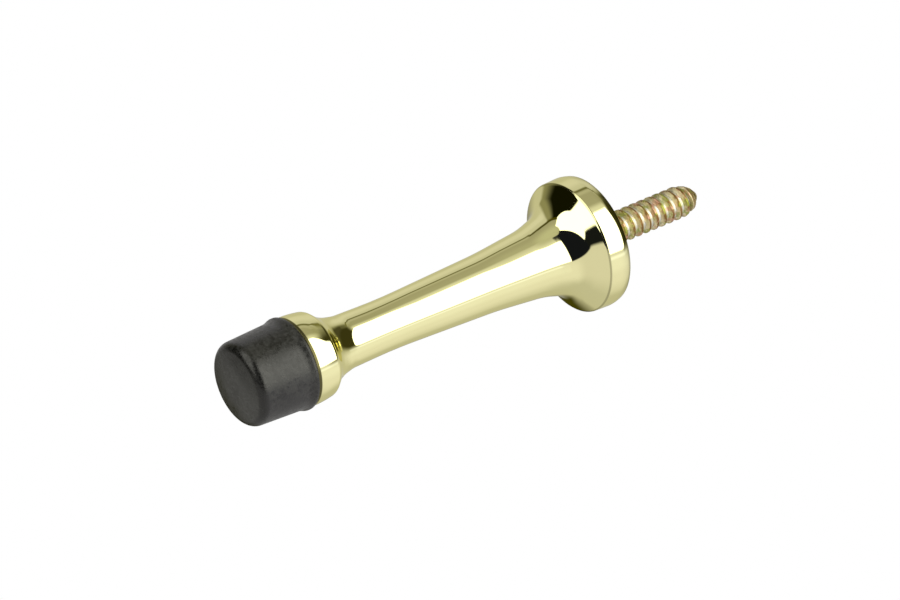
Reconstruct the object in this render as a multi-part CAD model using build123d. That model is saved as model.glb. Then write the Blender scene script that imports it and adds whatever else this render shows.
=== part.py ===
from build123d import *
import os
from math import ceil, floor, radians, tan

# Rigid wall door stop: a polished brass post on a flared base, a rubber bumper and a wood screw
# Sizes are in millimetres. The wall face is y = 0, the post stands out along -Y, the screw goes in along +Y
# A height is a distance out from the wall, and a set-back is a distance behind the front of the collar

# Overall sizes
projection = 80.0
base_radius = 12.7
bumper_length = 12.55
screw_length = 25.4

# Flared base, from the wall outwards
back_edge_inset = 0.3
back_edge_rounding = 0.15
back_bevel_inset = 0.12
back_bevel_height = 0.65
back_bevel_rounding = 6.0
rim_belly_height = 1.35
rim_belly_rounding = 3.8
rim_height = 4.48
rim_draft = 0.14
rim_front_rounding = 0.25
shoulder_inset = 0.25
shoulder_rise = 0.28
shoulder_rounding = 1.7
dish_radius = 8.2
dish_height = 7.76
dish_sweep = 7.2
flare_radius = 6.64
flare_height = 13.08
flare_sweep = 20.0
taper_radius = 5.62
taper_height = 23.83
taper_sweep = 82.0

# Waist, neck and collar, from the waist to the front
waist_radius = 4.74
waist_setback = 20.87
waist_sweep = 128.0
neck_end_radius = 5.0
neck_end_setback = 11.15
neck_end_rounding = 8.0
neck_cove_radius = 5.53
neck_cove_setback = 8.72
neck_cove_rounding = 8.0
neck_root_radius = 6.35
neck_root_setback = 6.9
neck_root_rounding = 5.0
collar_heel_radius = 8.07
collar_heel_setback = 5.0
collar_heel_rounding = 1.4
collar_belly_radius = 8.43
collar_belly_setback = 2.55
collar_belly_rounding = 18.0
collar_front_radius = 8.46
collar_front_rounding = 0.3

# Rubber bumper, with a stem that is pressed into a socket in the collar
crown_radius = 3.2
crown_rounding = 16.0
crown_drop = 0.925
bumper_front_radius = 7.905
bumper_front_rounding = 1.8
bumper_rear_radius = 8.34
lip_radius = 8.77
lip_height = 1.6
lip_cove = 4.0
lip_thickness = 0.45
lip_front_rounding = 0.8
lip_rear_rounding = 0.15
socket_radius = 4.0
socket_depth = 7.0
socket_mouth_chamfer = 0.4
stem_root_rounding = 0.2
stem_end_rounding = 0.8
stem_end_gap = 0.5

# Wood screw, with a stud that is held in a blind hole in the base
shank_radius = 3.1
shank_length = 2.6
stud_radius = 2.4
stud_length = 12.0
stud_end_chamfer = 0.5
hole_end_gap = 1.0
drill_point_angle = 59.0
mouth_relief = 0.06
seat_angle = 45.0
crest_radius = 3.07
root_radius = 2.4
thread_pitch = 1.86
crest_width = 0.45
crest_rounding = 0.2
ridge_foot_width = 1.2
ridge_foot_depth = 0.15
point_length = 3.8
point_shoulder_radius = 2.3
point_shoulder_setback = 1.45
point_shoulder_depth = 0.7
nib_radius = 0.8
nib_ridge_height = 0.3

# Fits between the pieces
fit_clearance = 0.05
point_inset = 0.03
run_share = 0.49

# Places worked out from the sizes above
collar_front = projection - bumper_length
rim_front_radius = base_radius - rim_draft
back_edge_radius = base_radius - back_edge_inset
back_bevel_radius = base_radius - back_bevel_inset
stem_radius = socket_radius - fit_clearance
stem_end = collar_front - socket_depth + stem_end_gap
hole_radius = stud_radius + fit_clearance
hole_depth = stud_length + hole_end_gap
mouth_radius = shank_radius + mouth_relief
seat_slope = tan(radians(seat_angle))
point_start = screw_length - point_length
point_shoulder = screw_length - point_shoulder_setback


def rounded_outline(stations):
    """Outline through stations of radius, height and rounding, each rounding limited by its two runs."""
    points = [Vector(radius, -height) for radius, height, _ in stations]
    roundings = []
    for before, corner, after, station in zip(points, points[1:], points[2:], stations[1:]):
        turn = 180 - (before - corner).get_angle(after - corner)
        shorter_run = min((before - corner).length, (after - corner).length)
        largest = run_share * shorter_run / tan(radians(turn / 2))
        roundings.append(min(station[2], largest))
    return FilletPolyline(*points, radius=roundings)


def turned_outline(stations):
    """Solid of revolution about the axis of the stop, from stations that start and end on the axis."""
    outline = rounded_outline(stations)
    axis_side = Line(outline @ 1, outline @ 0)
    return revolve(make_face([outline, axis_side]), Axis.Y)


def turned(*corners):
    """Solid of revolution from plain corners of radius and y."""
    return revolve(make_face(Polyline(*corners, close=True)), Axis.Y)


def make_post():
    """Turned post, with a blind hole for the screw's stud and a socket for the bumper's stem."""
    post = turned_outline([
        (0, collar_front, 0),
        (collar_front_radius, collar_front, collar_front_rounding),
        (collar_belly_radius, collar_front - collar_belly_setback, collar_belly_rounding),
        (collar_heel_radius, collar_front - collar_heel_setback, collar_heel_rounding),
        (neck_root_radius, collar_front - neck_root_setback, neck_root_rounding),
        (neck_cove_radius, collar_front - neck_cove_setback, neck_cove_rounding),
        (neck_end_radius, collar_front - neck_end_setback, neck_end_rounding),
        (waist_radius, collar_front - waist_setback, waist_sweep),
        (taper_radius, taper_height, taper_sweep),
        (flare_radius, flare_height, flare_sweep),
        (dish_radius, dish_height, dish_sweep),
        (rim_front_radius - shoulder_inset, rim_height + shoulder_rise, shoulder_rounding),
        (rim_front_radius, rim_height, rim_front_rounding),
        (base_radius, rim_belly_height, rim_belly_rounding),
        (back_bevel_radius, back_bevel_height, back_bevel_rounding),
        (back_edge_radius, 0, back_edge_rounding),
        (0, 0, 0),
    ])
    socket_floor = collar_front - socket_depth
    socket = turned(
        (0, -collar_front),
        (socket_radius + socket_mouth_chamfer, -collar_front),
        (socket_radius, socket_mouth_chamfer - collar_front),
        (socket_radius, -socket_floor),
        (0, -socket_floor),
    )
    drill_point = hole_radius / tan(radians(drill_point_angle))
    screw_hole = turned(
        (0, 0),
        (mouth_radius, 0),
        (hole_radius, -(mouth_radius - hole_radius) / seat_slope),
        (hole_radius, -hole_depth),
        (0, -hole_depth - drill_point),
    )
    return post - socket - screw_hole


def make_bumper():
    """Rubber bumper: a crowned front, a thin lip over the collar's front edge and a stem in the socket."""
    return turned_outline([
        (0, projection, 0),
        (crown_radius, projection, crown_rounding),
        (bumper_front_radius, projection - crown_drop, bumper_front_rounding),
        (bumper_rear_radius, collar_front + lip_height, lip_cove),
        (lip_radius, collar_front + lip_thickness, lip_front_rounding),
        (lip_radius, collar_front, lip_rear_rounding),
        (stem_radius, collar_front, stem_root_rounding),
        (stem_radius, stem_end, stem_end_rounding),
        (0, stem_end, 0),
    ])


def thread_ridge(start, turns, inset, inner_radius):
    """Right-hand helical ridge with a rounded crest, drawn in by the inset and down to the inner radius."""
    centre = Vector(0, start, 0)
    path = Helix(thread_pitch, thread_pitch * turns, crest_radius, center=centre, direction=(0, 1, 0))
    section_plane = Plane(path @ 0, x_dir=path @ 0 - centre, z_dir=path % 0)
    crest_half = crest_width / 2 - inset
    foot_half = ridge_foot_width / 2 - inset
    foot = root_radius - ridge_foot_depth - crest_radius
    inner = inner_radius - crest_radius
    section = make_face(Polyline(
        (-inset, crest_half),
        (foot, foot_half),
        (inner, foot_half),
        (inner, -foot_half),
        (foot, -foot_half),
        (-inset, -crest_half),
        close=True,
    ))
    crest_corners = section.vertices().sort_by(Axis.X)[-2:]
    section = fillet(crest_corners, crest_rounding - inset)
    return sweep(section_plane * section, path=path, is_frenet=True)


def make_threaded_rod():
    """Full thread, from the end of the shank to the start of the point."""
    ridge_start = shank_length - thread_pitch
    turns = ceil((point_start - shank_length) / thread_pitch) + 2
    rod_start = ridge_start - thread_pitch
    rod_end = ridge_start + (turns + 1) * thread_pitch
    rod = turned((0, rod_start), (root_radius, rod_start), (root_radius, rod_end), (0, rod_end))
    ridge_inner_radius = root_radius - 2 * ridge_foot_depth
    ridge = thread_ridge(ridge_start, turns, 0, ridge_inner_radius)
    span_radius = 2 * crest_radius
    span = turned(
        (0, shank_length),
        (span_radius, shank_length),
        (span_radius, point_start),
        (0, point_start),
    )
    return (rod + ridge) & span


def make_point():
    """Blunt point, with the same thread cut down to two cones and ending in a nib."""
    ridge_start = shank_length - thread_pitch
    whole_turns_before = floor((point_start - ridge_start) / thread_pitch) - 1
    turns = ceil(point_length / thread_pitch) + 3
    blade_start = ridge_start + whole_turns_before * thread_pitch
    blade = thread_ridge(blade_start, turns, point_inset, nib_radius / 2)
    taper = turned(
        (0, point_start),
        (crest_radius, point_start),
        (point_shoulder_radius, point_shoulder),
        (nib_radius, screw_length),
        (0, screw_length),
    )
    core = turned(
        (0, point_start),
        (root_radius - point_inset, point_start),
        (point_shoulder_radius - point_shoulder_depth, point_shoulder),
        (nib_radius - nib_ridge_height, screw_length),
        (0, screw_length),
    )
    return core + (blade & taper)


def make_screw():
    """Wood screw: a stud and a conical shoulder in the base, then a shank, a thread and a point."""
    shank = turned(
        (0, -stud_length),
        (stud_radius - stud_end_chamfer, -stud_length),
        (stud_radius, stud_end_chamfer - stud_length),
        (stud_radius, -(mouth_radius - stud_radius) / seat_slope),
        (shank_radius, -mouth_relief / seat_slope),
        (shank_radius, shank_length),
        (0, shank_length),
    )
    return shank + make_threaded_rod() + make_point()


os.makedirs("parts", exist_ok=True)
export_step(make_post(), "parts/post.step")
export_step(make_bumper(), "parts/rubber_bumper.step")
export_step(make_screw(), "parts/wood_screw.step")
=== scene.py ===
from collections import namedtuple
from math import acos, ceil, cos, floor, pi, radians, sin, tan

import bmesh
import bpy
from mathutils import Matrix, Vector


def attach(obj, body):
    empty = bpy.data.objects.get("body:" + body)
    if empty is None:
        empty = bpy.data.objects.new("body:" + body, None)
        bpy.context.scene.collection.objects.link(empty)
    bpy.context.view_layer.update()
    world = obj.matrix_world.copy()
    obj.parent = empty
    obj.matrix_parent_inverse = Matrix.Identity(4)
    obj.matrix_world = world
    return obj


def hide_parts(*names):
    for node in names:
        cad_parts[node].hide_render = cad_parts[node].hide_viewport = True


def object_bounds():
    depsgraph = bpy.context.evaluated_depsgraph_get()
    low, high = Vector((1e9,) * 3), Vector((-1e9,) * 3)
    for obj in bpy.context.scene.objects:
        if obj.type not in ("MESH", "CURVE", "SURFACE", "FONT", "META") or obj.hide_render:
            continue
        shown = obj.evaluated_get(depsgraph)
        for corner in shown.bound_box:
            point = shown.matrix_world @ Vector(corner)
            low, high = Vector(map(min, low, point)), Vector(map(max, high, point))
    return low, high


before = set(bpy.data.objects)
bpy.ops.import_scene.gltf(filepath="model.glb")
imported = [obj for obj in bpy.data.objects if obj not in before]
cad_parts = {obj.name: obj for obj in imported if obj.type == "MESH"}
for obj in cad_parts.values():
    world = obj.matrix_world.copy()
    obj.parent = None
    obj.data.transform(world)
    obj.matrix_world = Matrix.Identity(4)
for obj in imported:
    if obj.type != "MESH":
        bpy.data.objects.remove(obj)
cad_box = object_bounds()

# Wall door stop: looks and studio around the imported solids
# Sizes are in millimetres, with the same names as in the part's source, and become metres as meshes are made
# A height is a distance out from the wall, and a set-back is a distance behind the front of the collar
mm = 0.001

# Overall sizes
projection = 80.0
base_radius = 12.7
bumper_length = 12.55
screw_length = 25.4

# Flared base, from the wall outwards
back_edge_inset = 0.3
back_edge_rounding = 0.15
back_bevel_inset = 0.12
back_bevel_height = 0.65
back_bevel_rounding = 6.0
rim_belly_height = 1.35
rim_belly_rounding = 3.8
rim_height = 4.48
rim_draft = 0.14
rim_front_rounding = 0.25
shoulder_inset = 0.25
shoulder_rise = 0.28
shoulder_rounding = 1.7
dish_radius = 8.2
dish_height = 7.76
dish_sweep = 7.2
flare_radius = 6.64
flare_height = 13.08
flare_sweep = 20.0
taper_radius = 5.62
taper_height = 23.83
taper_sweep = 82.0

# Waist, neck and collar, from the waist to the front
waist_radius = 4.74
waist_setback = 20.87
waist_sweep = 128.0
neck_end_radius = 5.0
neck_end_setback = 11.15
neck_end_rounding = 8.0
neck_cove_radius = 5.53
neck_cove_setback = 8.72
neck_cove_rounding = 8.0
neck_root_radius = 6.35
neck_root_setback = 6.9
neck_root_rounding = 5.0
collar_heel_radius = 8.07
collar_heel_setback = 5.0
collar_heel_rounding = 1.4
collar_belly_radius = 8.43
collar_belly_setback = 2.55
collar_belly_rounding = 18.0
collar_front_radius = 8.46
collar_front_rounding = 0.3

# Rubber bumper and its stem
crown_radius = 3.2
crown_rounding = 16.0
crown_drop = 0.925
bumper_front_radius = 7.905
bumper_front_rounding = 1.8
bumper_rear_radius = 8.34
lip_radius = 8.77
lip_height = 1.6
lip_cove = 4.0
lip_thickness = 0.45
lip_front_rounding = 0.8
lip_rear_rounding = 0.15
socket_radius = 4.0
socket_depth = 7.0
socket_mouth_chamfer = 0.4
stem_root_rounding = 0.2
stem_end_rounding = 0.8
stem_end_gap = 0.5

# Wood screw and its stud
shank_radius = 3.1
shank_length = 2.6
stud_radius = 2.4
stud_length = 12.0
stud_end_chamfer = 0.5
hole_end_gap = 1.0
drill_point_angle = 59.0
mouth_relief = 0.06
seat_angle = 45.0
crest_radius = 3.07
root_radius = 2.4
thread_pitch = 1.86
crest_width = 0.45
crest_rounding = 0.2
ridge_foot_width = 1.2
ridge_foot_depth = 0.15
point_length = 3.8
point_shoulder_radius = 2.3
point_shoulder_setback = 1.45
point_shoulder_depth = 0.7
nib_radius = 0.8
nib_ridge_height = 0.3

# Fits between the pieces
fit_clearance = 0.05
run_share = 0.49

# Mesh density
turn_step = radians(1.5)
thread_turn_step = radians(6)
longest_run = 0.5
lathe_segments = 224
thread_segments = 96
foot_step = 0.002
axis_tolerance = 1e-6
sharp_angle = radians(40)
weld_distance = 1e-4

# Camera that matches the photo, with its places and reach in metres
camera_place = (0.571830, -0.467998, 0.471377)
camera_target = (-0.010598, -0.023978, -0.009308)
camera_lens = 190.01
camera_sensor = 36
camera_reach = 20

# Floor that the camera sees, a little below the base
floor_half = 3000.0
floor_drop = 0.1

# Colours of the pieces, in linear light
white = (1, 1, 1)
black = (0, 0, 0)
brass_deep = (0.82, 0.785, 0.39)
brass_pale = (0.85, 0.815, 0.42)
brass_edge_tint = (0.88, 0.86, 0.66)
# Painted shade: olive black laid at the seam behind the bumper's lip and in the crease round the rim
painted_shade_olive = (0.035, 0.028, 0.004)
# Painted dark reflection at the back edge of the brass rim
back_edge_reflection_grey = (0.06, 0.065, 0.08)
rubber_black = (0.002, 0.002, 0.0017)
rubber_charcoal = (0.023, 0.023, 0.020)
# Painted shade on the rubber's front edge
rubber_edge_shade = (0.0015, 0.0015, 0.0013)
rubber_edge_tint = (1.0, 0.99, 0.90)
# Lighter grey for marks by noise along the rubber's front edge
pale_mark_grey = (0.06, 0.06, 0.056)
# Painted highlight and painted shade across each turn of the screw's thread, from the groove over the crest
# to the far flank
groove_highlight_white = (0.70, 0.71, 0.66)
foot_olive = (0.46, 0.42, 0.26)
lit_flank_champagne = (0.88, 0.81, 0.56)
flank_gold = (0.82, 0.71, 0.42)
shaded_crest_brown = (0.22, 0.112, 0.026)
shaded_far_crest_brown = (0.22, 0.12, 0.03)
far_flank_beige = (0.62, 0.57, 0.38)
point_brown = (0.42, 0.34, 0.15)
passivate_green = (0.38, 0.43, 0.07)
passivate_pink = (0.66, 0.38, 0.26)

# Places of the painted shade on the rubber's front edge and of the painted dark reflection on the rim's back
# edge
shaded_edge_radius = 7.2
shaded_edge_setback = 1.2
rim_edge_fade = 0.2

# Strengths of the painted shade and dullness at the seam and the crease, of the roughness, of the mottle, and
# of the painted shade and smoothing at the rubber's front edge
seam_shade_and_dullness = 0.92
crease_shade_and_dullness = 0.4
dull_roughness = 0.3
back_roughness = 0.32
mottle_share = 0.65
cloud_share = 0.35
edge_shade_strength = 0.8
edge_smoothing = 0.04

# Studio directions, with azimuth 0 away from the camera and 90 to its right, in degrees
half_turn = 180
studio_right = Vector((0.60627, 0.79526, 0.0))
studio_up = Vector((-0.0830, 0.0633, 0.9945)).normalized()
studio_away = studio_up.cross(studio_right)

# Places worked out from the sizes above
collar_front = projection - bumper_length
rim_front_radius = base_radius - rim_draft
back_edge_radius = base_radius - back_edge_inset
back_bevel_radius = base_radius - back_bevel_inset
stem_radius = socket_radius - fit_clearance
stem_end = collar_front - socket_depth + stem_end_gap
hole_radius = stud_radius + fit_clearance
hole_depth = stud_length + hole_end_gap
mouth_radius = shank_radius + mouth_relief
seat_slope = tan(radians(seat_angle))
point_start = screw_length - point_length
point_shoulder = screw_length - point_shoulder_setback
ridge_start = shank_length - thread_pitch
crease_radius = rim_front_radius - shoulder_inset / 2
crease_height = rim_height + shoulder_rise / 2
core_line = [
    (root_radius, shank_length),
    (root_radius, point_start),
    (point_shoulder_radius - point_shoulder_depth, point_shoulder),
    (nib_radius - nib_ridge_height, screw_length),
]
crest_line = [
    (crest_radius, shank_length),
    (crest_radius, point_start),
    (point_shoulder_radius, point_shoulder),
    (nib_radius, screw_length),
]


# Meshes


def run_points(start, end):
    """Points after the start of a straight run, up to its end, no further apart than the longest run."""
    count = max(1, ceil((end - start).length / longest_run))
    return [start.lerp(end, step / count) for step in range(1, count + 1)]


def rounded_outline(stations, arc_step=turn_step):
    """Outline through stations of radius, height and rounding, with arcs at the rounded stations."""
    points = [Vector((radius, height)) for radius, height, _ in stations]
    outline = [points[0]]
    for before, corner, after, station in zip(points, points[1:], points[2:], stations[1:]):
        back = (before - corner).normalized()
        ahead = (after - corner).normalized()
        opening = acos(max(-1.0, min(1.0, back.dot(ahead))))
        turn = pi - opening
        shorter_run = min((before - corner).length, (after - corner).length)
        rounding = min(station[2], run_share * shorter_run / tan(turn / 2))
        if rounding == 0:
            outline += run_points(outline[-1], corner)
            continue
        reach = rounding * tan(turn / 2)
        centre = corner + (back + ahead).normalized() * (rounding / cos(turn / 2))
        arc_start = corner + back * reach
        arc_end = corner + ahead * reach
        outline += run_points(outline[-1], arc_start)
        steps = max(2, ceil(turn / arc_step))
        for step in range(1, steps):
            share = step / steps
            spoke = (arc_start - centre) * sin((1 - share) * turn) + (arc_end - centre) * sin(share * turn)
            outline.append(centre + spoke / sin(turn))
        outline.append(arc_end)
    outline += run_points(outline[-1], points[-1])
    return [(max(point.x, 0.0), -point.y) for point in outline]


def spot(radius, y, angle):
    """Point in metres at a radius from the axis, a place along it and an angle from +Z towards +X."""
    return (radius * sin(angle) * mm, y * mm, radius * cos(angle) * mm)


def lathe_parts(outline, segments):
    """Vertices and faces of an outline of radius and y turned about the axis, with poles on the axis."""
    vertices = []
    faces = []
    rings = []
    for radius, y in outline:
        if radius < axis_tolerance:
            rings.append([len(vertices)])
            vertices.append(spot(0, y, 0))
        else:
            rings.append(list(range(len(vertices), len(vertices) + segments)))
            vertices += [spot(radius, y, 2 * pi * step / segments) for step in range(segments)]
    for ring, following in zip(rings, rings[1:]):
        for step in range(segments):
            beside = (step + 1) % segments
            corners = [ring[step % len(ring)], following[step % len(following)]]
            corners += [following[beside % len(following)], ring[beside % len(ring)]]
            faces.append(list(dict.fromkeys(corners)))
    return vertices, faces


def make_piece(name, vertices, faces):
    """Smooth-shaded mesh piece with welded points and outward faces."""
    mesh = bpy.data.meshes.new(name)
    mesh.from_pydata(vertices, [], faces)
    shape = bmesh.new()
    shape.from_mesh(mesh)
    bmesh.ops.remove_doubles(shape, verts=shape.verts, dist=weld_distance * mm)
    bmesh.ops.dissolve_degenerate(shape, edges=shape.edges, dist=weld_distance * mm)
    bmesh.ops.recalc_face_normals(shape, faces=shape.faces)
    shape.to_mesh(mesh)
    shape.free()
    mesh.shade_smooth()
    mesh.set_sharp_from_angle(angle=sharp_angle)
    piece = bpy.data.objects.new(name, mesh)
    bpy.context.scene.collection.objects.link(piece)
    return piece


def make_post():
    """Turned post, from the floor of the bumper's socket round the outside to the end of the screw's hole."""
    drill_point = hole_radius / tan(radians(drill_point_angle))
    outline = rounded_outline([
        (0, collar_front - socket_depth, 0),
        (socket_radius, collar_front - socket_depth, 0),
        (socket_radius, collar_front - socket_mouth_chamfer, 0),
        (socket_radius + socket_mouth_chamfer, collar_front, 0),
        (collar_front_radius, collar_front, collar_front_rounding),
        (collar_belly_radius, collar_front - collar_belly_setback, collar_belly_rounding),
        (collar_heel_radius, collar_front - collar_heel_setback, collar_heel_rounding),
        (neck_root_radius, collar_front - neck_root_setback, neck_root_rounding),
        (neck_cove_radius, collar_front - neck_cove_setback, neck_cove_rounding),
        (neck_end_radius, collar_front - neck_end_setback, neck_end_rounding),
        (waist_radius, collar_front - waist_setback, waist_sweep),
        (taper_radius, taper_height, taper_sweep),
        (flare_radius, flare_height, flare_sweep),
        (dish_radius, dish_height, dish_sweep),
        (rim_front_radius - shoulder_inset, rim_height + shoulder_rise, shoulder_rounding),
        (rim_front_radius, rim_height, rim_front_rounding),
        (base_radius, rim_belly_height, rim_belly_rounding),
        (back_bevel_radius, back_bevel_height, back_bevel_rounding),
        (back_edge_radius, 0, back_edge_rounding),
        (mouth_radius, 0, 0),
        (hole_radius, (mouth_radius - hole_radius) / seat_slope, 0),
        (hole_radius, hole_depth, 0),
        (0, hole_depth + drill_point, 0),
    ])
    return make_piece("brass_post", *lathe_parts(outline, lathe_segments))


def make_bumper():
    """Rubber bumper with its thin lip, and its stem in the collar's socket."""
    outline = rounded_outline([
        (0, projection, 0),
        (crown_radius, projection, crown_rounding),
        (bumper_front_radius, projection - crown_drop, bumper_front_rounding),
        (bumper_rear_radius, collar_front + lip_height, lip_cove),
        (lip_radius, collar_front + lip_thickness, lip_front_rounding),
        (lip_radius, collar_front, lip_rear_rounding),
        (stem_radius, collar_front, stem_root_rounding),
        (stem_radius, stem_end, stem_end_rounding),
        (0, stem_end, 0),
    ])
    return make_piece("moulded_bumper", *lathe_parts(outline, lathe_segments))


def thread_section():
    """Samples of offset along the axis and radius over one pitch of the thread, with a rounded crest."""
    crest_half = crest_width / 2
    foot_half = ridge_foot_width / 2
    foot_radius = root_radius - ridge_foot_depth
    samples = rounded_outline([
        (foot_radius, foot_half, 0),
        (crest_radius, crest_half, crest_rounding),
        (crest_radius, -crest_half, crest_rounding),
        (foot_radius, -foot_half, 0),
    ], thread_turn_step)
    return [(y, radius) for radius, y in samples]


def ridge_radius(section, offset):
    """Radius of the thread's ridge at an offset along the axis from its middle, or 0 beyond its feet."""
    for (before, radius), (after, radius_after) in zip(section, section[1:]):
        if before <= offset <= after and after > before:
            return radius + (radius_after - radius) * (offset - before) / (after - before)
    return 0.0


def line_radius(corners, y):
    """Radius at a place along the axis, on a line through corners of radius and y."""
    for (radius, start), (radius_after, end) in zip(corners, corners[1:]):
        if y <= end:
            return radius + (radius_after - radius) * (y - start) / (end - start)
    return corners[-1][0]


def screw_radius(section, angle, y):
    """Radius of the threaded part at an angle and a place along the axis, with its blunt point."""
    turns = (y - ridge_start) / thread_pitch - angle / (2 * pi)
    offset = (turns - floor(turns + 0.5)) * thread_pitch
    core = line_radius(core_line, y)
    taper = line_radius(crest_line, y)
    return max(core, min(taper, ridge_radius(section, offset)))


def make_screw():
    """Wood screw: a stud, a conical shoulder and a shank, then a right-hand thread that tapers to a nib."""
    section = thread_section()
    foot_half = ridge_foot_width / 2
    root_half = thread_pitch / 2
    offsets = [-root_half, -(root_half + foot_half) / 2, -foot_half - foot_step]
    offsets += [offset for offset, _ in section]
    offsets += [foot_half + foot_step, (root_half + foot_half) / 2, root_half]
    shank = rounded_outline([
        (0, stud_length, 0),
        (stud_radius - stud_end_chamfer, stud_length, 0),
        (stud_radius, stud_length - stud_end_chamfer, 0),
        (stud_radius, (mouth_radius - stud_radius) / seat_slope, 0),
        (shank_radius, mouth_relief / seat_slope, 0),
        (shank_radius, -shank_length, 0),
    ])
    vertices, faces = lathe_parts(shank, thread_segments)
    shank_ring = len(vertices) - thread_segments
    start_ring = len(vertices)
    for step in range(thread_segments):
        angle = 2 * pi * step / thread_segments
        vertices.append(spot(screw_radius(section, angle, shank_length), shank_length, angle))
    end_ring = len(vertices)
    for step in range(thread_segments):
        angle = 2 * pi * step / thread_segments
        vertices.append(spot(screw_radius(section, angle, screw_length), screw_length, angle))
    tip = len(vertices)
    vertices.append(spot(0, screw_length, 0))
    for step in range(thread_segments):
        beside = (step + 1) % thread_segments
        faces.append([shank_ring + step, start_ring + step, start_ring + beside, shank_ring + beside])
        faces.append([end_ring + step, tip, end_ring + beside])
    columns = (ceil((screw_length - ridge_start) / thread_pitch) + 2) * thread_segments
    first_column = len(vertices)
    for column in range(columns + 1):
        angle = 2 * pi * column / thread_segments
        middle = ridge_start + thread_pitch * (column / thread_segments - 1)
        for offset in offsets:
            y = min(max(middle + offset, shank_length), screw_length)
            vertices.append(spot(screw_radius(section, angle, y), y, angle))
    for column in range(columns):
        for row in range(len(offsets) - 1):
            corner = first_column + column * len(offsets) + row
            faces.append([corner, corner + 1, corner + 1 + len(offsets), corner + len(offsets)])
    return make_piece("rolled_screw", vertices, faces)


# Materials


def add_node(tree, kind, inputs=None, **settings):
    """Node of a kind with its settings, and with values or links on its inputs."""
    made = tree.nodes.new(kind)
    for name, value in settings.items():
        setattr(made, name, value)
    for key, value in (inputs or {}).items():
        if isinstance(value, bpy.types.NodeSocket):
            tree.links.new(value, made.inputs[key])
        else:
            made.inputs[key].default_value = value
    return made


def maths(tree, operation, *values):
    """Result of a Math node on values or sockets."""
    return add_node(tree, "ShaderNodeMath", dict(enumerate(values)), operation=operation).outputs[0]


def total(tree, first, second):
    """Sum of two values or sockets."""
    return maths(tree, "ADD", first, second)


def product(tree, first, second):
    """Product of two values or sockets."""
    return maths(tree, "MULTIPLY", first, second)


def hypotenuse(tree, first, second):
    """Longest side of a right-angled triangle from its two other sides."""
    return maths(tree, "SQRT", total(tree, product(tree, first, first), product(tree, second, second)))


def rgba(colour):
    """Colour with its fourth channel, or a socket as it is."""
    if isinstance(colour, bpy.types.NodeSocket):
        return colour
    return (*colour, 1)


def mixed(tree, share, first, second):
    """Result of a colour Mix node."""
    inputs = {0: share, 6: rgba(first), 7: rgba(second)}
    return add_node(tree, "ShaderNodeMix", inputs, data_type="RGBA").outputs[2]


def spread(tree, value, low, high, to_low=0, to_high=1):
    """Result of a smooth Map Range node."""
    inputs = {0: value, 1: low, 2: high, 3: to_low, 4: to_high}
    return add_node(tree, "ShaderNodeMapRange", inputs, interpolation_type="SMOOTHSTEP").outputs[0]


def band(tree, value, middle, half, edge):
    """Mask that is 1 where a value lies within half of the middle, with soft edges."""
    away = maths(tree, "ABSOLUTE", maths(tree, "SUBTRACT", value, middle))
    return spread(tree, away, half, half + edge, to_low=1, to_high=0)


def noise(tree, place, scale, detail, roughness=0.5):
    """Noise texture at a place, with its scale per metre."""
    inputs = {"Vector": place, "Scale": scale, "Detail": detail, "Roughness": roughness}
    return add_node(tree, "ShaderNodeTexNoise", inputs).outputs[0]


def bump(tree, height, strength, depth):
    """Normal from a Bump node, with its depth in millimetres."""
    inputs = {"Height": height, "Strength": strength, "Distance": depth * mm}
    return add_node(tree, "ShaderNodeBump", inputs).outputs[0]


def colour_ramp(tree, value, stops):
    """Colour from a ramp with stops of position and colour."""
    ramp = add_node(tree, "ShaderNodeValToRGB", {0: value})
    for position, _ in stops[2:]:
        ramp.color_ramp.elements.new(position)
    for element, (position, colour) in zip(ramp.color_ramp.elements, stops):
        element.position = position
        element.color = rgba(colour)
    return ramp.outputs[0]


def new_material(name):
    """Empty node material, its tree and its main shader joined to the output."""
    material = bpy.data.materials.new(name)
    material.use_nodes = True
    tree = material.node_tree
    tree.nodes.clear()
    shader = add_node(tree, "ShaderNodeBsdfPrincipled")
    add_node(tree, "ShaderNodeOutputMaterial", {"Surface": shader.outputs[0]})
    return material, tree, shader


def object_place(tree):
    """Place on a piece, in metres."""
    return add_node(tree, "ShaderNodeTexCoord").outputs["Object"]


def turned_place(tree, place):
    """Radius from the axis and height from the wall, in millimetres, at a place on a turned piece."""
    parts = add_node(tree, "ShaderNodeSeparateXYZ", {0: place}).outputs
    radius = maths(tree, "DIVIDE", hypotenuse(tree, parts[0], parts[2]), mm)
    height = maths(tree, "DIVIDE", parts[1], -mm)
    return radius, height


def thread_phase(tree, place):
    """Place across the thread from 0 to 1, with the ridge's middle at 0.5 and the point's side above it."""
    parts = add_node(tree, "ShaderNodeSeparateXYZ", {0: place}).outputs
    turns = maths(tree, "DIVIDE", maths(tree, "ARCTAN2", parts[0], parts[2]), 2 * pi)
    along = maths(tree, "DIVIDE", maths(tree, "SUBTRACT", parts[1], ridge_start * mm), thread_pitch * mm)
    return maths(tree, "FRACT", total(tree, maths(tree, "SUBTRACT", along, turns), 0.5))


def dress(tree, shader, colour, rough, normal):
    """Join a colour, a roughness and a normal to a shader."""
    tree.links.new(colour, shader.inputs["Base Color"])
    tree.links.new(rough, shader.inputs["Roughness"])
    tree.links.new(normal, shader.inputs["Normal"])


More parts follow.
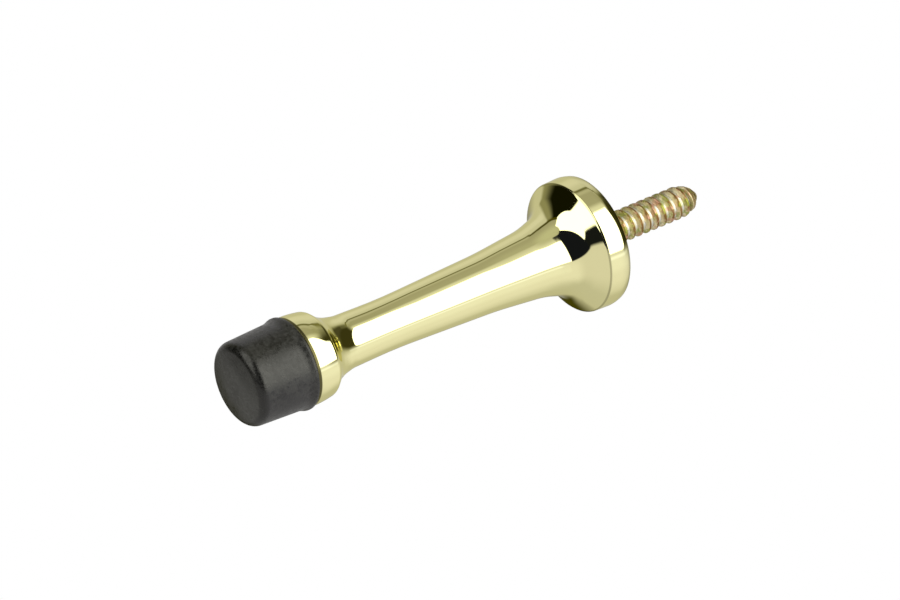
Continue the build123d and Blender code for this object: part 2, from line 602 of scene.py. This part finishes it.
def brass_material():
    """Mirror-polished pale brass, with painted shade and dullness at the seam and the crease, a painted dark
    reflection at the back edge, and satin behind.
    """
    material, tree, shader = new_material("polished_brass_look")
    place = object_place(tree)
    radius, height = turned_place(tree, place)
    # Painted shade: the seam behind the lip and the crease round the rim are darkened to olive black, and
    # also made rougher
    seam = band(tree, height, middle=collar_front, half=0.62, edge=0.20)
    crease_across = band(tree, radius, middle=crease_radius, half=0.09, edge=0.06)
    crease_along = band(tree, height, middle=crease_height, half=0.20, edge=0.10)
    crease = product(tree, crease_across, crease_along)
    shade_and_dullness = maths(tree, "MAXIMUM", product(tree, seam, seam_shade_and_dullness), product(tree, crease, crease_shade_and_dullness))
    colour = mixed(tree, noise(tree, place, scale=120, detail=3), brass_deep, brass_pale)
    colour = mixed(tree, shade_and_dullness, colour, painted_shade_olive)
    # Painted dark reflection: a blue-grey line and fade round the back edge of the rim
    reflection_line = spread(tree, height, low=0.25, high=0.75, to_low=0.36, to_high=0)
    reflection_fade = spread(tree, height, low=0.3, high=2.4, to_low=0.16, to_high=0)
    on_rim = spread(tree, radius, low=back_edge_radius - rim_edge_fade, high=back_edge_radius)
    back_reflection = product(tree, total(tree, reflection_line, reflection_fade), on_rim)
    colour = mixed(tree, back_reflection, colour, back_edge_reflection_grey)
    back = spread(tree, height, low=0.04, high=0.12, to_low=1, to_high=0)
    matt = total(tree, product(tree, shade_and_dullness, dull_roughness), product(tree, back, back_roughness))
    smear = noise(tree, place, scale=260, detail=5, roughness=0.6)
    polish = spread(tree, smear, low=0.35, high=0.75, to_low=0.02, to_high=0.05)
    wave = bump(tree, noise(tree, place, scale=160, detail=2), strength=0.02, depth=0.2)
    dress(tree, shader, colour, total(tree, polish, matt), wave)
    shader.inputs["Metallic"].default_value = 1.0
    shader.inputs["Specular Tint"].default_value = rgba(brass_edge_tint)
    return material


def rubber_material():
    """Moulded charcoal rubber with a fine mottle, a soft gloss, and painted shade on its smoother front edge,
    with lighter marks by noise there.
    """
    material, tree, shader = new_material("black_rubber_look")
    place = object_place(tree)
    radius, height = turned_place(tree, place)
    mottle = noise(tree, place, scale=1300, detail=5, roughness=0.65)
    cloud = noise(tree, place, scale=220, detail=3)
    tone = total(tree, product(tree, mottle, mottle_share), product(tree, cloud, cloud_share))
    colour = mixed(tree, spread(tree, tone, low=0.38, high=0.62), rubber_black, rubber_charcoal)
    # Painted shade: the rubber's front edge is darkened, and also made a little smoother
    edge_across = band(tree, radius, middle=shaded_edge_radius, half=0.6, edge=0.8)
    edge_along = band(tree, height, middle=projection - shaded_edge_setback, half=0.8, edge=0.8)
    edge = product(tree, edge_across, edge_along)
    marks = noise(tree, place, scale=420, detail=4, roughness=0.6)
    pale_marks = product(tree, edge, spread(tree, marks, low=0.58, high=0.68, to_high=0.3))
    colour = mixed(tree, product(tree, edge, edge_shade_strength), colour, rubber_edge_shade)
    colour = mixed(tree, pale_marks, colour, pale_mark_grey)
    rough = spread(tree, mottle, low=0.34, high=0.66, to_low=0.26, to_high=0.48)
    rough = maths(tree, "SUBTRACT", rough, product(tree, edge, edge_smoothing))
    skin = bump(tree, noise(tree, place, scale=1900, detail=4, roughness=0.6), strength=0.6, depth=0.05)
    dress(tree, shader, colour, rough, skin)
    shader.inputs["Specular IOR Level"].default_value = 0.5
    shader.inputs["Specular Tint"].default_value = rgba(rubber_edge_tint)
    return material


def zinc_material():
    """Yellow zinc passivate with green and pink patches, and painted highlight and painted shade across each
    turn: pale grooves, champagne flanks and brown crests.
    """
    material, tree, shader = new_material("yellow_zinc_look")
    place = object_place(tree)
    _, height = turned_place(tree, place)
    stain = noise(tree, place, scale=900, detail=4, roughness=0.6)
    shift = spread(tree, stain, low=0.3, high=0.7, to_low=-0.05, to_high=0.05)
    # Painted highlight and painted shade: the ramp across each turn makes the grooves and flanks pale and the
    # crests brown
    colour = colour_ramp(tree, total(tree, thread_phase(tree, place), shift), [
        (0.07, groove_highlight_white),
        (0.14, foot_olive),
        (0.24, lit_flank_champagne),
        (0.34, flank_gold),
        (0.42, shaded_crest_brown),
        (0.62, shaded_far_crest_brown),
        (0.74, far_flank_beige),
    ])
    point = spread(tree, height, low=-point_start, high=-screw_length)
    colour = mixed(tree, point, colour, point_brown)
    green = noise(tree, place, scale=520, detail=3, roughness=0.55)
    colour = mixed(tree, spread(tree, green, low=0.51, high=0.60, to_high=0.7), colour, passivate_green)
    pink = noise(tree, place, scale=610, detail=2)
    colour = mixed(tree, spread(tree, pink, low=0.55, high=0.66, to_high=0.7), colour, passivate_pink)
    grain = noise(tree, place, scale=1600, detail=4)
    rough = spread(tree, grain, low=0.3, high=0.7, to_low=0.42, to_high=0.60)
    dress(tree, shader, colour, rough, bump(tree, grain, strength=0.2, depth=0.05))
    shader.inputs["Metallic"].default_value = 1.0
    return material


def white_material():
    """Plain white that takes no light and no shadow."""
    material, _, shader = new_material("white_look")
    shader.inputs["Base Color"].default_value = rgba(black)
    shader.inputs["Specular IOR Level"].default_value = 0
    shader.inputs["Emission Color"].default_value = rgba(white)
    shader.inputs["Emission Strength"].default_value = 1.0
    return material


# Pieces that stand for the three nodes
pieces = [
    (make_post(), "post", "polished_brass", brass_material()),
    (make_bumper(), "rubber_bumper", "black_rubber", rubber_material()),
    (make_screw(), "wood_screw", "yellow_zinc", zinc_material()),
]
for piece, node, slot, material in pieces:
    piece.data.materials.append(material)
    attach(piece, "root")
    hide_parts(node)


# Studio


def patch_mask(tree, azimuth, elevation, patch):
    """Mask that is 1 inside a patch of the studio with rounded corners and soft edges, and 0 outside."""
    left, right = patch.azimuths
    low, high = patch.elevations
    rise = maths(tree, "SUBTRACT", elevation, (low + high) / 2)
    turn = maths(tree, "SUBTRACT", azimuth, (left + right) / 2)
    turn = maths(tree, "SUBTRACT", turn, product(tree, rise, patch.lean))
    turn = maths(tree, "WRAP", turn, half_turn, -half_turn)
    aside = maths(tree, "SUBTRACT", maths(tree, "ABSOLUTE", turn), (right - left) / 2 - patch.corner)
    above = maths(tree, "SUBTRACT", maths(tree, "ABSOLUTE", rise), (high - low) / 2 - patch.corner)
    beyond = hypotenuse(tree, maths(tree, "MAXIMUM", aside, 0), maths(tree, "MAXIMUM", above, 0))
    distance = maths(tree, "SUBTRACT", beyond, patch.corner)
    return spread(tree, distance, low=-patch.edge, high=patch.edge, to_low=1, to_high=0)


# Patches of the studio, in degrees, each laid over those before it
# The lean is how far a patch's sides go to the right for each degree that they rise
Patch = namedtuple("Patch", "azimuths elevations corner edge light lean", defaults=[0])
studio_patches = [
    # Roof
    Patch((-180, 180), (74, 120), corner=14, edge=12, light=(0.60, 0.60, 0.50)),
    # Floor behind the camera and to the left
    Patch((130, 236), (-52, 6), corner=16, edge=15, light=(0.80, 0.78, 0.82)),
    Patch((-118, -46), (-56, -20), corner=14, edge=12, light=(0.92, 0.91, 0.88)),
    Patch((-125, -58), (-18, 2), corner=6, edge=6, light=(0.24, 0.235, 0.21)),
    # Dark room to the left, with the left-hand light in it
    Patch((-152, -40), (-2, 57), corner=3, edge=2, light=(0.010, 0.011, 0.014)),
    Patch((-149, -79), (13, 75), corner=3, edge=1.5, light=(2.4, 2.4, 2.35)),
    Patch((-96.5, -30), (4, 58), corner=2, edge=1.5, light=(0.007, 0.007, 0.001), lean=0.82),
    # Paper behind the stop, with its shaded left side, a light stripe and the dark line where it ends
    Patch((-57, -10), (-20, 54), corner=9, edge=9, light=(0.31, 0.30, 0.20)),
    Patch((-58, -30), (-40, -2.5), corner=3, edge=2.5, light=(0.66, 0.65, 0.64)),
    Patch((-37.5, 60), (-40, 52), corner=6, edge=4, light=(0.68, 0.67, 0.66)),
    Patch((-34, 30), (15, 37), corner=8, edge=7, light=(0.79, 0.775, 0.81)),
    Patch((-20, 40), (53, 57.5), corner=2.2, edge=2, light=(0.53, 0.515, 0.46)),
    Patch((-78, -4), (52.2, 57), corner=2.4, edge=2, light=(0.08, 0.07, 0.0)),
    Patch((-10, 24), (47.8, 52.2), corner=2.2, edge=1.8, light=(0.17, 0.16, 0.07)),
    Patch((20, 46), (44.8, 49.2), corner=2.2, edge=1.8, light=(0.15, 0.14, 0.05)),
    # Floor, brighter towards the right-hand light and dark under the flare
    Patch((62, 170), (-56, 0), corner=20, edge=18, light=(0.94, 0.92, 0.99)),
    Patch((84, 140), (-28, -4), corner=8, edge=8, light=(1.02, 1.01, 1.10)),
    Patch((84, 140), (-9.5, -5), corner=2.2, edge=2, light=(1.22, 1.24, 1.45)),
    Patch((-60, 2), (-62, -24), corner=14, edge=13, light=(0.065, 0.06, 0.004)),
    # Glow round the right-hand light, and the gap between it and the paper
    Patch((66, 160), (6, 70), corner=14, edge=12, light=(0.95, 0.94, 0.92)),
    Patch((28, 96), (-6, 51), corner=16, edge=16, light=(0.30, 0.29, 0.12)),
    Patch((31, 76), (14, 45), corner=9, edge=7, light=(0.075, 0.07, 0.035)),
    Patch((54, 96), (-2, 49), corner=8, edge=7, light=(0.047, 0.043, 0.012), lean=-0.35),
    # Right-hand light and the dark room behind the camera
    Patch((87, 160), (0, 60.5), corner=4, edge=1.6, light=(3.2, 3.2, 3.15), lean=-0.28),
    Patch((150, 211), (-2, 77), corner=2, edge=1.5, light=(0.008, 0.009, 0.016)),
]
studio_sky = (0.43, 0.415, 0.35)
studio_ground = (0.64, 0.63, 0.63)
horizon_edge = 1.5


def make_studio():
    """World that lights the stop with the studio's patches and shows plain white to the camera."""
    studio = bpy.data.worlds.new("studio")
    studio.use_nodes = True
    tree = studio.node_tree
    tree.nodes.clear()
    aim = add_node(tree, "ShaderNodeTexCoord").outputs["Generated"]
    shares = []
    for axis in (studio_right, studio_away, studio_up):
        share = add_node(tree, "ShaderNodeVectorMath", {0: aim, 1: axis}, operation="DOT_PRODUCT")
        shares.append(share.outputs["Value"])
    azimuth = maths(tree, "DEGREES", maths(tree, "ARCTAN2", shares[0], shares[1]))
    elevation = maths(tree, "DEGREES", maths(tree, "ARCSINE", shares[2]))
    over_horizon = spread(tree, elevation, low=-horizon_edge, high=horizon_edge)
    light = mixed(tree, over_horizon, studio_ground, studio_sky)
    for patch in studio_patches:
        light = mixed(tree, patch_mask(tree, azimuth, elevation, patch), light, patch.light)
    seen = add_node(tree, "ShaderNodeLightPath").outputs["Is Camera Ray"]
    background = add_node(tree, "ShaderNodeBackground", {"Color": mixed(tree, seen, light, white)})
    add_node(tree, "ShaderNodeOutputWorld", {"Surface": background.outputs[0]})
    return studio


def make_floor():
    """Level white floor that only the camera sees."""
    level = cad_box[0].z - floor_drop * mm
    corner_signs = [(-1, -1), (1, -1), (1, 1), (-1, 1)]
    corners = [(x * floor_half * mm, y * floor_half * mm, level) for x, y in corner_signs]
    mesh = bpy.data.meshes.new("white_sweep")
    mesh.from_pydata(corners, [], [(0, 1, 2, 3)])
    mesh.materials.append(white_material())
    sheet = bpy.data.objects.new("white_sweep", mesh)
    bpy.context.scene.collection.objects.link(sheet)
    sheet.visible_diffuse = False
    sheet.visible_glossy = False
    sheet.visible_transmission = False
    sheet.visible_shadow = False
    return sheet


bpy.context.scene.world = make_studio()
floor_piece = make_floor()

# Camera and colour
camera = bpy.data.objects.new("camera", bpy.data.cameras.new("camera"))
bpy.context.scene.collection.objects.link(camera)
camera.location = camera_place
aim_line = Vector(camera_target) - Vector(camera_place)
camera.rotation_euler = aim_line.to_track_quat("-Z", "Y").to_euler()
camera.data.lens = camera_lens
camera.data.sensor_width = camera_sensor
camera.data.clip_end = camera_reach
bpy.context.scene.camera = camera
bpy.context.scene.view_settings.view_transform = "Standard"
